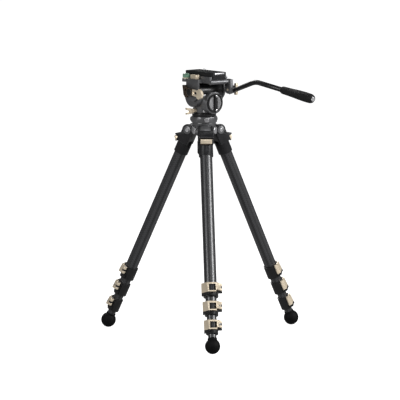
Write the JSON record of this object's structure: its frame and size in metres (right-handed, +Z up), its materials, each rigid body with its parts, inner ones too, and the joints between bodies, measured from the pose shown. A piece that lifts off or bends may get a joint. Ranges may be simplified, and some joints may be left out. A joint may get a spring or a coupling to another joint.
{
  "type": "video tripod",
  "caption": "Carbon video tripod: telescoping legs with lever locks, ball feet, levelling base, fluid head with pan bar and camera plate.",
  "frame": {"origin": "on the floor, under the middle of the footprint of the three feet; the tripod's own centre line stands at y = 63.75 mm", "axes": "+Z up, -Y towards the front leg, +X to the right seen from the front leg; the pan bar points 54.3 degrees clockwise of +X"},
  "size_m": [0.4776, 0.4184, 0.6346],
  "materials": {
    "graphite_metal": "satin graphite grey coating",
    "black_metal": "satin black coating",
    "bronze_metal": "satin champagne bronze",
    "carbon_tube": "clear-coated carbon weave",
    "black_plastic": "fine-grained moulding",
    "rubber": "matte moulded rubber",
    "foam_grip": "soft fine-celled foam rubber",
    "steel": "machined",
    "level_green": "clear green vial"
  },
  "bodies": {
    "apex": {"apex_casting": "graphite_metal", "pivot_pins": "steel", "bowl_housing": "graphite_metal"},
    "liner": {"level_liner": "black_plastic"},
    "ball": {"levelling_ball": "black_metal", "level_rod": "steel", "pan_base": "black_metal"},
    "level_handle": {"levelling_handle": "black_plastic"},
    "head": {"head_body": "graphite_metal", "tilt_drum": "black_metal"},
    "pan_lock": {"pan_lock_lever": "bronze_metal"},
    "dial": {"balance_dial": "black_plastic"},
    "platform": {"tilt_platform": "graphite_metal", "bubble_level": "level_green"},
    "tilt_lock": {"tilt_lock_lever": "bronze_metal"},
    "plate_clamp": {"plate_clamp_lever": "bronze_metal"},
    "plate": {"camera_plate": "black_metal"},
    "screw": {"camera_screw": "steel"},
    "bar": {"pan_bar": "black_metal", "pan_grip": "foam_grip"},
    "bar_knob": {"bar_clamp_knob": "bronze_metal"},
    "leg_upper_front": {"shoulder_front": "graphite_metal", "tube_1_front": "carbon_tube", "lock_collar_1_front": "black_plastic"},
    "leg_second_front": {"tube_2_front": "carbon_tube", "lock_collar_2_front": "black_plastic"},
    "leg_third_front": {"tube_3_front": "carbon_tube", "lock_collar_3_front": "black_plastic"},
    "leg_lower_front": {"tube_4_front": "carbon_tube", "foot_front": "rubber"},
    "latch_front": {"latch_front": "bronze_metal"},
    "lever_1_front": {"lock_lever_1_front": "bronze_metal"},
    "lever_2_front": {"lock_lever_2_front": "bronze_metal"},
    "lever_3_front": {"lock_lever_3_front": "bronze_metal"},
    "leg_upper_left": {"shoulder_left": "graphite_metal", "tube_1_left": "carbon_tube", "lock_collar_1_left": "black_plastic"},
    "leg_second_left": {"tube_2_left": "carbon_tube", "lock_collar_2_left": "black_plastic"},
    "leg_third_left": {"tube_3_left": "carbon_tube", "lock_collar_3_left": "black_plastic"},
    "leg_lower_left": {"tube_4_left": "carbon_tube", "foot_left": "rubber"},
    "latch_left": {"latch_left": "bronze_metal"},
    "lever_1_left": {"lock_lever_1_left": "bronze_metal"},
    "lever_2_left": {"lock_lever_2_left": "bronze_metal"},
    "lever_3_left": {"lock_lever_3_left": "bronze_metal"},
    "leg_upper_right": {"shoulder_right": "graphite_metal", "tube_1_right": "carbon_tube", "lock_collar_1_right": "black_plastic"},
    "leg_second_right": {"tube_2_right": "carbon_tube", "lock_collar_2_right": "black_plastic"},
    "leg_third_right": {"tube_3_right": "carbon_tube", "lock_collar_3_right": "black_plastic"},
    "leg_lower_right": {"tube_4_right": "carbon_tube", "foot_right": "rubber"},
    "latch_right": {"latch_right": "bronze_metal"},
    "lever_1_right": {"lock_lever_1_right": "bronze_metal"},
    "lever_2_right": {"lock_lever_2_right": "bronze_metal"},
    "lever_3_right": {"lock_lever_3_right": "bronze_metal"}
  },
  "joints": [
    {"name": "leg_fold_front", "type": "hinge", "parent": "apex", "child": "leg_upper_front", "pos_m": [0, 0.02835, 0.48893], "axis": [1, 0, 0], "range_deg": [-55, 25]},
    {"name": "latch_pull_front", "type": "slide", "parent": "leg_upper_front", "child": "latch_front", "axis": [0, -0.9063, 0.4226], "range_m": [0, 0.005]},
    {"name": "section_2_slide_front", "type": "slide", "parent": "leg_upper_front", "child": "leg_second_front", "axis": [0, -0.4226, -0.9063], "range_m": [0, 0.285]},
    {"name": "lever_1_open_front", "type": "hinge", "parent": "leg_upper_front", "child": "lever_1_front", "pos_m": [0.0221, -0.13995, 0.13985], "axis": [0, 0.4226, 0.9063], "range_deg": [0, 115]},
    {"name": "section_3_slide_front", "type": "slide", "parent": "leg_second_front", "child": "leg_third_front", "axis": [0, -0.4226, -0.9063], "range_m": [0, 0.285]},
    {"name": "lever_2_open_front", "type": "hinge", "parent": "leg_second_front", "child": "lever_2_front", "pos_m": [0.0205, -0.15867, 0.0997], "axis": [0, 0.4226, 0.9063], "range_deg": [0, 115]},
    {"name": "section_4_slide_front", "type": "slide", "parent": "leg_third_front", "child": "leg_lower_front", "axis": [0, -0.4226, -0.9063], "range_m": [0, 0.285]},
    {"name": "lever_3_open_front", "type": "hinge", "parent": "leg_third_front", "child": "lever_3_front", "pos_m": [0.0189, -0.17739, 0.05955], "axis": [0, 0.4226, 0.9063], "range_deg": [0, 115]},
    {"name": "leg_fold_left", "type": "hinge", "parent": "apex", "child": "leg_upper_left", "pos_m": [-0.03066, 0.08145, 0.48893], "axis": [-0.5, -0.866, 0], "range_deg": [-55, 25]},
    {"name": "latch_pull_left", "type": "slide", "parent": "leg_upper_left", "child": "latch_left", "axis": [-0.7849, 0.4532, 0.4226], "range_m": [0, 0.005]},
    {"name": "section_2_slide_left", "type": "slide", "parent": "leg_upper_left", "child": "leg_second_left", "axis": [-0.366, 0.2113, -0.9063], "range_m": [0, 0.285]},
    {"name": "lever_1_open_left", "type": "hinge", "parent": "leg_upper_left", "child": "lever_1_left", "pos_m": [-0.18746, 0.14646, 0.13985], "axis": [0.366, -0.2113, 0.9063], "range_deg": [0, 115]},
    {"name": "section_3_slide_left", "type": "slide", "parent": "leg_second_left", "child": "leg_third_left", "axis": [-0.366, 0.2113, -0.9063], "range_m": [0, 0.285]},
    {"name": "lever_2_open_left", "type": "hinge", "parent": "leg_second_left", "child": "lever_2_left", "pos_m": [-0.20287, 0.15721, 0.0997], "axis": [0.366, -0.2113, 0.9063], "range_deg": [0, 115]},
    {"name": "section_4_slide_left", "type": "slide", "parent": "leg_third_left", "child": "leg_lower_left", "axis": [-0.366, 0.2113, -0.9063], "range_m": [0, 0.285]},
    {"name": "lever_3_open_left", "type": "hinge", "parent": "leg_third_left", "child": "lever_3_left", "pos_m": [-0.21828, 0.16795, 0.05955], "axis": [0.366, -0.2113, 0.9063], "range_deg": [0, 115]},
    {"name": "leg_fold_right", "type": "hinge", "parent": "apex", "child": "leg_upper_right", "pos_m": [0.03066, 0.08145, 0.48893], "axis": [0.5, -0.866, 0], "range_deg": [-25, 55]},
    {"name": "latch_pull_right", "type": "slide", "parent": "leg_upper_right", "child": "latch_right", "axis": [0.7849, 0.4532, 0.4226], "range_m": [0, 0.005]},
    {"name": "section_2_slide_right", "type": "slide", "parent": "leg_upper_right", "child": "leg_second_right", "axis": [0.366, 0.2113, -0.9063], "range_m": [0, 0.285]},
    {"name": "lever_1_open_right", "type": "hinge", "parent": "leg_upper_right", "child": "lever_1_right", "pos_m": [0.16536, 0.18474, 0.13985], "axis": [-0.366, -0.2113, 0.9063], "range_deg": [0, 115]},
    {"name": "section_3_slide_right", "type": "slide", "parent": "leg_second_right", "child": "leg_third_right", "axis": [0.366, 0.2113, -0.9063], "range_m": [0, 0.285]},
    {"name": "lever_2_open_right", "type": "hinge", "parent": "leg_second_right", "child": "lever_2_right", "pos_m": [0.18237, 0.19271, 0.0997], "axis": [-0.366, -0.2113, 0.9063], "range_deg": [0, 115]},
    {"name": "section_4_slide_right", "type": "slide", "parent": "leg_third_right", "child": "leg_lower_right", "axis": [0.366, 0.2113, -0.9063], "range_m": [0, 0.285]},
    {"name": "lever_3_open_right", "type": "hinge", "parent": "leg_third_right", "child": "lever_3_right", "pos_m": [0.19938, 0.20069, 0.05955], "axis": [-0.366, -0.2113, 0.9063], "range_deg": [0, 115]},
    {"name": "level_tilt_side", "type": "hinge", "parent": "apex", "child": "liner", "pos_m": [0, 0.06375, 0.52893], "axis": [-0.2588, -0.9659, 0], "range_deg": [-10, 10]},
    {"name": "level_tilt_front", "type": "hinge", "parent": "liner", "child": "ball", "pos_m": [0, 0.06375, 0.52893], "axis": [0.9659, -0.2588, 0], "range_deg": [-10, 10]},
    {"name": "level_handle_turn", "type": "hinge", "parent": "ball", "child": "level_handle", "pos_m": [0, 0.06375, 0.44893], "axis": [0, 0, 1], "range_deg": [0, 270]},
    {"name": "pan", "type": "hinge", "parent": "ball", "child": "head", "pos_m": [0, 0.06375, 0.53443], "axis": [0, 0, 1], "continuous": true},
    {"name": "pan_lock_turn", "type": "hinge", "parent": "head", "child": "pan_lock", "pos_m": [-0.02436, 0.04624, 0.53743], "axis": [-0.8121, -0.5835, 0], "range_deg": [0, 60]},
    {"name": "dial_turn", "type": "hinge", "parent": "head", "child": "dial", "pos_m": [0.02451, 0.02964, 0.55593], "axis": [0.5835, -0.8121, 0], "range_deg": [-135, 135]},
    {"name": "tilt", "type": "hinge", "parent": "head", "child": "platform", "pos_m": [0.0035, 0.05888, 0.58193], "axis": [0.8121, 0.5835, 0], "range_deg": [-48, 40]},
    {"name": "tilt_lock_turn", "type": "hinge", "parent": "head", "child": "tilt_lock", "pos_m": [-0.03386, 0.03204, 0.58193], "axis": [-0.8121, -0.5835, 0], "range_deg": [0, 90]},
    {"name": "plate_clamp_open", "type": "hinge", "parent": "platform", "child": "plate_clamp", "pos_m": [-0.01863, 0.03312, 0.61693], "axis": [0, 0, 1], "range_deg": [0, 100]},
    {"name": "plate_slide", "type": "slide", "parent": "platform", "child": "plate", "axis": [0.5835, -0.8121, 0], "range_m": [-0.02, 0.02]},
    {"name": "camera_screw_turn", "type": "hinge", "parent": "plate", "child": "screw", "pos_m": [0.00117, 0.06213, 0.61493], "axis": [0, 0, 1], "continuous": true},
    {"name": "bar_angle", "type": "hinge", "parent": "platform", "child": "bar", "pos_m": [0.06481, 0.04382, 0.58693], "axis": [-0.8121, -0.5835, 0], "range_deg": [-50, 90]},
    {"name": "bar_knob_turn", "type": "hinge", "parent": "platform", "child": "bar_knob", "pos_m": [0.07211, 0.04908, 0.58693], "axis": [0.8121, 0.5835, 0], "range_deg": [0, 180]}
  ]
}
